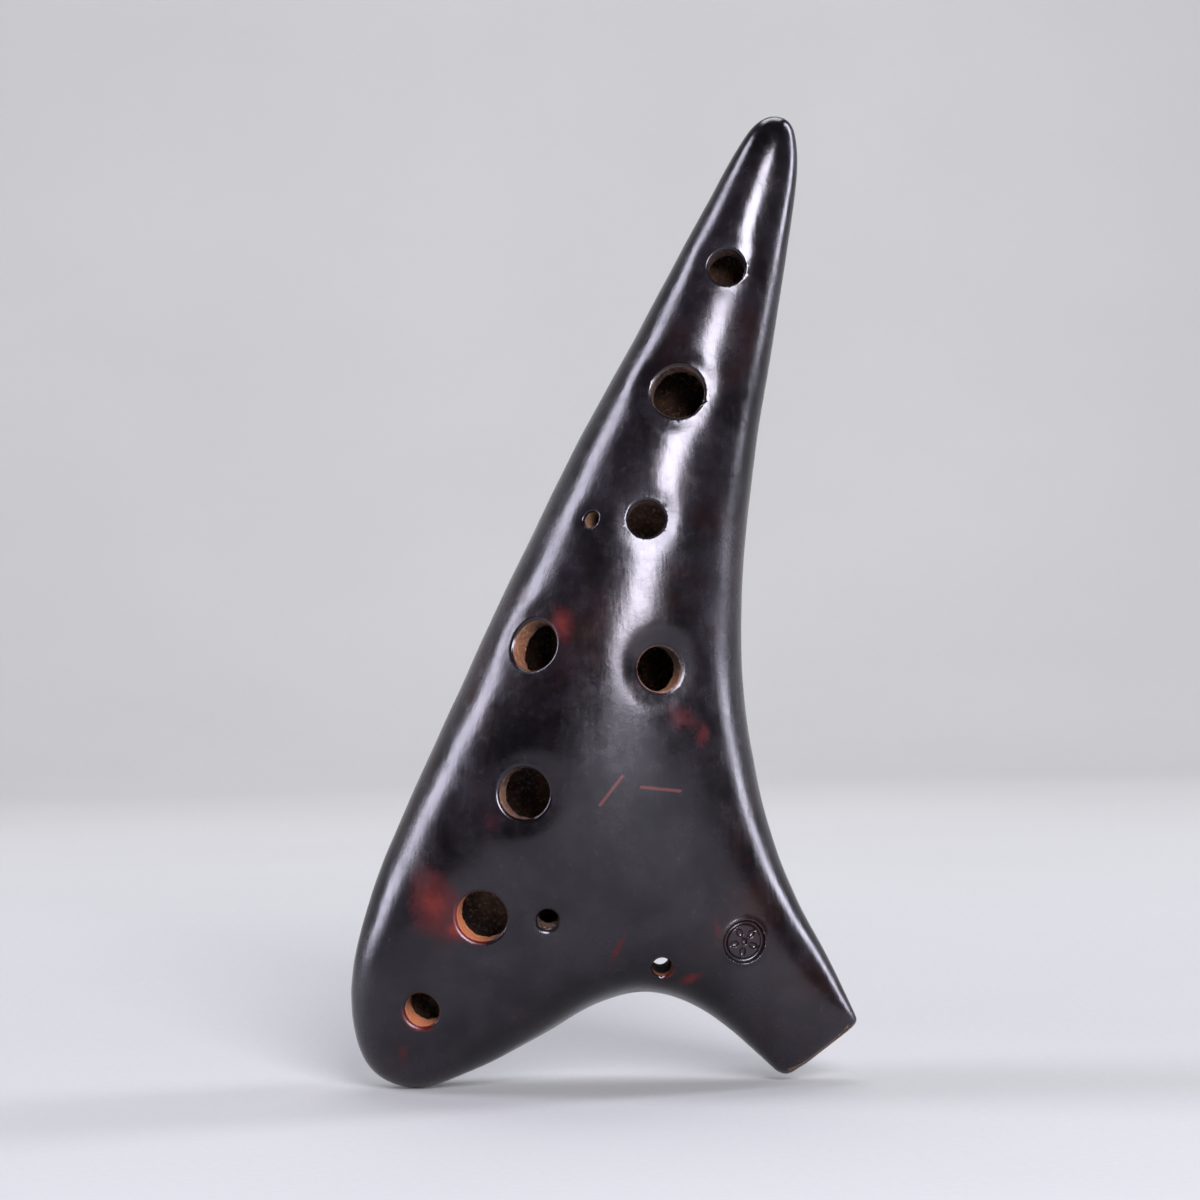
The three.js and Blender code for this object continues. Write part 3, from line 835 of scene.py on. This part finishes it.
def flame_at(points, depth):
    """How red the fire left each point. Flames stay in the outer skin, and copper goes down the holes."""
    x, y, z = points.T
    most = np.zeros(len(points))
    for at_x, at_z, wide, high, turn, side, strength in FLAMES:
        c, s = math.cos(math.radians(turn)), math.sin(math.radians(turn))
        right, up = x - at_x, z - at_z
        away = np.hypot((right * c + up * s) / wide, (up * c - right * s) / high)
        most = np.maximum(most, strength * on_side(y, side) * np.clip(FLAME_EDGE - away, 0, None) / FLAME_EDGE)
    most *= np.clip(1.2 - depth / 2.0, 0, 1)
    for name, (strength, from_x, from_z) in COPPER.items():
        hole = named_holes[name]
        wall, out = hole.parts(x, y, z)
        toward = ((x - hole.point[0]) * from_x + (z - hole.point[2]) * from_z) / (wall + hole.radius + 0.1)
        glow = np.exp(-((np.maximum(wall, 0) / COPPER_FADE) ** 2)) * np.clip(0.35 + 0.9 * toward, 0, 1)
        close = (wall < COPPER_REACH) & (np.abs(out) < hole.REACH)
        most = np.maximum(most, np.where(close, strength * glow, 0))
    return most


def ash_at(x, y, z, spread=1.0):
    """How near each point is to a straw line: 1 on the line, falling to 0 beside it."""
    most = np.zeros(x.shape)
    for x1, z1, x2, z2, wide, side in STRAWS:
        along = np.array([x2 - x1, z2 - z1])
        share = np.clip(((x - x1) * along[0] + (z - z1) * along[1]) / (along @ along), 0, 1)
        away = np.hypot(x - x1 - share * along[0], z - z1 - share * along[1]) / (wide + 0.25) / spread
        most = np.maximum(most, on_side(y, side) * np.clip(1.35 - away, 0, 1))
    return most


# ---- Materials ----


class Shader:
    """A node material under construction. Sockets take a value or another node's output."""

    def __init__(self, name):
        self.material = bpy.data.materials.new(name)
        self.material.use_nodes = True
        self.tree = self.material.node_tree
        self.skin = self.tree.nodes["Principled BSDF"]
        self.place = self.add("ShaderNodeTexCoord").outputs["Object"]

    def add(self, kind, **settings):
        node = self.tree.nodes.new(kind)
        for key, value in settings.items():
            setattr(node, key, value)
        return node

    def feed(self, socket, value):
        if isinstance(value, bpy.types.NodeSocket):
            self.tree.links.new(value, socket)
        else:
            socket.default_value = value

    def plus(self, a, b):
        return self.math("ADD", a, b)

    def times(self, a, b):
        return self.math("MULTIPLY", a, b)

    def math(self, operation, a, b):
        node = self.add("ShaderNodeMath", operation=operation)
        for socket, value in zip(node.inputs, (a, b)):
            self.feed(socket, value)
        return node.outputs[0]

    def stretch(self, value, low, high, to_low=0.0, to_high=1.0):
        node = self.add("ShaderNodeMapRange", interpolation_type="SMOOTHSTEP")
        for socket, given in zip(node.inputs, (value, low, high, to_low, to_high)):
            self.feed(socket, given)
        return node.outputs[0]

    def noise(self, scale, detail=4.0, roughness=0.55, distortion=0.0, stretch=None, turn=(0.0, 0.0, 0.0)):
        node = self.add("ShaderNodeTexNoise")
        place = self.place
        if stretch:
            move = self.add("ShaderNodeMapping")
            move.inputs["Scale"].default_value = stretch
            move.inputs["Rotation"].default_value = turn
            self.feed(move.inputs["Vector"], place)
            place = move.outputs[0]
        self.feed(node.inputs["Vector"], place)
        node.inputs["Scale"].default_value = scale
        node.inputs["Detail"].default_value = detail
        node.inputs["Roughness"].default_value = roughness
        node.inputs["Distortion"].default_value = distortion
        return node.outputs["Fac"]

    def attribute(self, name):
        return self.add("ShaderNodeAttribute", attribute_name=name).outputs["Fac"]

    def mix(self, factor, a, b, kind="RGBA"):
        node = self.add("ShaderNodeMix", data_type=kind)
        self.feed(node.inputs["Factor"], factor)
        self.feed(node.inputs["A"], a)
        self.feed(node.inputs["B"], b)
        return node.outputs["Result"]

    def bump(self, height, strength, distance, below=None):
        node = self.add("ShaderNodeBump")
        node.inputs["Strength"].default_value = strength
        node.inputs["Distance"].default_value = distance
        self.feed(node.inputs["Height"], height)
        if below is not None:
            self.feed(node.inputs["Normal"], below)
        return node.outputs[0]

    def finish(self, tint, rough, normal):
        """The material, with its colour, roughness and normal fed in."""
        self.feed(self.skin.inputs["Base Color"], tint)
        self.feed(self.skin.inputs["Roughness"], rough)
        self.feed(self.skin.inputs["Normal"], normal)
        return self.material


def color(red, green, blue):
    return (red, green, blue, 1.0)


def raw_clay_look(shader):
    """Colour, roughness and height of bare gritty clay inside the holes and the chamber."""
    broad = shader.noise(160, 5, 0.6)
    grit = shader.noise(1500, 3, 0.7)
    sooty, brown, sandy = color(0.012, 0.006, 0.0045), color(0.12, 0.058, 0.030), color(0.26, 0.16, 0.095)
    tint = shader.mix(shader.stretch(broad, 0.35, 0.68), sooty, brown)
    tint = shader.mix(shader.stretch(grit, 0.5, 0.75), tint, sandy)
    rough = shader.stretch(grit, 0.2, 0.8, 0.72, 0.96)
    return tint, rough, grit


def burnished_clay():
    """Near-black burnished clay with red fire marks and straw lines, and raw clay inside its holes."""
    shader = Shader("burnished_clay")
    cloud = shader.noise(28, 5, 0.6, 0.6)
    smoke = shader.noise(75, 6, 0.62, 0.3)
    speck = shader.noise(900, 4, 0.7)
    mottle = shader.noise(420, 5, 0.68, 0.4)
    strokes = shader.noise(260, 4, 0.6, stretch=(1.0, 1.0, 0.16), turn=(0.0, 0.35, 0.0))
    scratches = shader.noise(1300, 2, 0.5, stretch=(1.0, 1.0, 0.07), turn=(0.2, -0.5, 0.1))
    fire, ash, rawness = (shader.attribute(name) for name in ("fire_red", "straw_ash", "rawness"))

    black, violet = color(0.0018, 0.0013, 0.0018), color(0.0075, 0.0055, 0.0080)
    tint = shader.mix(shader.stretch(smoke, 0.34, 0.66), black, violet)
    tint = shader.mix(shader.stretch(cloud, 0.5, 0.75), tint, color(0.013, 0.0045, 0.0032))
    tint = shader.mix(shader.stretch(speck, 0.58, 0.74, 0.0, 0.35), tint, color(0.026, 0.020, 0.026))

    ragged = shader.plus(shader.plus(fire, shader.times(smoke, 0.9)), shader.times(speck, 0.25))
    red = shader.stretch(ragged, 0.92, 1.30)
    hot = shader.stretch(ragged, 1.22, 1.56)
    tint = shader.mix(red, tint, shader.mix(hot, color(0.030, 0.0006, 0.0005), color(0.085, 0.0052, 0.0018)))
    straw = shader.stretch(shader.plus(ash, shader.times(speck, 0.3)), 0.45, 1.1)
    tint = shader.mix(shader.times(straw, 0.42), tint, color(0.15, 0.036, 0.032))

    raw_tint, raw_rough, grit = raw_clay_look(shader)
    raw_tint = shader.mix(shader.times(fire, 0.75), raw_tint, color(0.48, 0.15, 0.05))
    inside = shader.stretch(shader.plus(rawness, shader.times(smoke, 0.3)), 0.25, 0.6)
    tint = shader.mix(inside, tint, raw_tint)

    rough = shader.stretch(smoke, 0.3, 0.7, 0.16, 0.25)
    rough = shader.plus(rough, shader.stretch(strokes, 0.35, 0.7, 0.0, 0.07))
    rough = shader.plus(rough, shader.times(red, 0.12))
    rough = shader.plus(rough, shader.stretch(mottle, 0.40, 0.70, -0.02, 0.045))
    rough = shader.mix(inside, rough, raw_rough, "FLOAT")

    normal = shader.bump(strokes, 0.16, 0.00035)
    normal = shader.bump(scratches, 0.10, 0.00012, normal)
    normal = shader.bump(speck, 0.10, 0.0002, normal)
    normal = shader.bump(mottle, 0.04, 0.0003, normal)
    normal = shader.bump(shader.times(grit, inside), 0.7, 0.0006, normal)
    shader.skin.inputs["IOR"].default_value = 1.5
    shader.skin.inputs["Specular Tint"].default_value = color(0.93, 0.90, 1.0)
    return shader.finish(tint, rough, normal)


def bare_clay(name, warmth):
    """Raw clay that the air stream and the smoke have tinted in clouds."""
    shader = Shader(name)
    tint, rough, grit = raw_clay_look(shader)
    smoke = shader.noise(90, 5, 0.6, 0.4)
    tint = shader.mix(shader.stretch(smoke, 0.4, 0.7), tint, warmth)
    return shader.finish(tint, rough, shader.bump(grit, 0.6, 0.0005))


def plain_paper():
    """Matt pale paper for the studio's floor and wall."""
    shader = Shader("pale_paper")
    broad = shader.noise(4, 3)
    fibre = shader.noise(700, 3, 0.6)
    tint = shader.mix(broad, color(0.30, 0.30, 0.305), color(0.34, 0.34, 0.345))
    return shader.finish(tint, shader.stretch(fibre, 0.2, 0.8, 0.7, 0.85), shader.bump(fibre, 0.05, 0.0002))


# ---- Build ----

whole = whole_clay()
rooms = [("DIFFERENCE", space(SEAM_GAP)) for space in (floor_space, roof_space, labium_space)]
# What is cut from the whole clay for each CAD node, and the material slot.
PLAN = {
    "front_shell": ([("INTERSECT", half_space(-1)), *rooms], "burnished_clay"),
    "back_shell": ([("INTERSECT", half_space(1)), *rooms], "burnished_clay"),
    "windway_floor": ([("INTERSECT", floor_space(0))], "raw_clay"),
    "windway_roof": ([("INTERSECT", roof_space(0))], "burnished_clay"),
    "labium": ([("INTERSECT", labium_space(0))], "ramp_clay"),
}
burnished = burnished_clay()
MATERIALS = {
    "burnished_clay": burnished,
    "raw_clay": bare_clay("raw_clay", color(0.10, 0.055, 0.035)),
    "ramp_clay": burnished,
}
for node, (steps, slot) in PLAN.items():
    shape = finish_mesh(boolean(whole.copy(), steps))
    piece = bpy.data.objects.new(node + "_clay", shape)
    bpy.context.scene.collection.objects.link(piece)
    shape.materials.clear()
    shape.materials.append(MATERIALS[slot])
    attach(piece, "root")
    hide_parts(node)

# ---- The studio ----


def paper_bowl():
    """A pale paper floor that curves up into a wall all round the part and the lights."""
    middle_y, floor_radius, bend, top = -1.05, 2.0, 0.6, 3.2
    around, bend_steps = 72, 12
    profile = [(0.15, 0.0), (0.6, 0.0), (floor_radius, 0.0)]
    for k in range(1, bend_steps + 1):
        turn = math.pi / 2 * k / bend_steps
        profile.append((floor_radius + bend * math.sin(turn), bend - bend * math.cos(turn)))
    profile.append((floor_radius + bend, top))
    points = [(0.0, middle_y, 0.0)]
    for radius, z in profile:
        for k in range(around):
            turn = 2 * math.pi * k / around
            points.append((radius * math.cos(turn), middle_y + radius * math.sin(turn), z))
    faces = [[0, 1 + k, 1 + (k + 1) % around] for k in range(around)]
    for ring in range(len(profile) - 1):
        low, high = 1 + ring * around, 1 + (ring + 1) * around
        for k in range(around):
            n = (k + 1) % around
            faces.append([low + k, high + k, high + n, low + n])
    mesh = bpy.data.meshes.new("paper_bowl")
    mesh.from_pydata(points, [], faces)
    mesh.polygons.foreach_set("use_smooth", [True] * len(faces))
    mesh.materials.append(plain_paper())
    paper = bpy.data.objects.new("paper_bowl", mesh)
    bpy.context.scene.collection.objects.link(paper)


PART_MIDDLE = Vector((0.0, 0.0, 0.083))
COOL = (0.95, 0.94, 1.0)
COOLER_RIGHT, COOLER_LEFT = (0.88, 0.88, 1.0), (0.88, 0.87, 1.0)


def softbox(name, azimuth, elevation, distance, wide, high, power, tint=(1.0, 1.0, 1.0)):
    """An area light aimed at the part's middle. Azimuth 0 is in front of the part and 90 to its right."""
    data = bpy.data.lights.new(name, "AREA")
    data.shape, data.size, data.size_y = "RECTANGLE", wide, high
    data.energy, data.color = power, tint
    box = bpy.data.objects.new(name, data)
    bpy.context.scene.collection.objects.link(box)
    a, e = math.radians(azimuth), math.radians(elevation)
    offset = Vector((math.sin(a) * math.cos(e), -math.cos(a) * math.cos(e), math.sin(e))) * distance
    box.location = PART_MIDDLE + offset
    box.rotation_euler = (-offset).to_track_quat("-Z", "Y").to_euler()
    return box


paper_bowl()
softbox("tall_softbox", 15, 22, 1.1, 0.44, 0.66, 29, COOL)
softbox("right_strip", 106, 27, 0.95, 0.20, 0.95, 9, COOLER_RIGHT)
softbox("left_strip", -98, 27, 0.95, 0.30, 0.95, 11, COOLER_LEFT)
softbox("top_softbox", 175, 66, 1.3, 0.9, 0.6, 9)
wall_wash = softbox("wall_wash", 180, 60, 1.0, 1.2, 0.3, 14)
wall_wash.rotation_euler = Vector((0.0, 1.0, -0.45)).to_track_quat("-Z", "Y").to_euler()
world = bpy.data.worlds.new("studio")
world.use_nodes = True
background = world.node_tree.nodes["Background"]
background.inputs["Color"].default_value = color(0.8, 0.8, 0.9)
background.inputs["Strength"].default_value = 0.05
bpy.context.scene.world = world

FRAME_WIDTH = 0.2066  # how wide the picture is at the part, in metres
lens = bpy.data.cameras.new("front_camera")
lens.lens, lens.sensor_width = 100, 36
camera = bpy.data.objects.new("front_camera", lens)
bpy.context.scene.collection.objects.link(camera)
aim = Vector((0.00057, SEAM_Y * MM, 0.08337))
camera.location = aim + Vector((0, -FRAME_WIDTH / lens.sensor_width * lens.lens, 0))
camera.rotation_euler = (math.pi / 2, LEAN, 0)
bpy.context.scene.camera = camera
bpy.context.scene.view_settings.view_transform = "Standard"
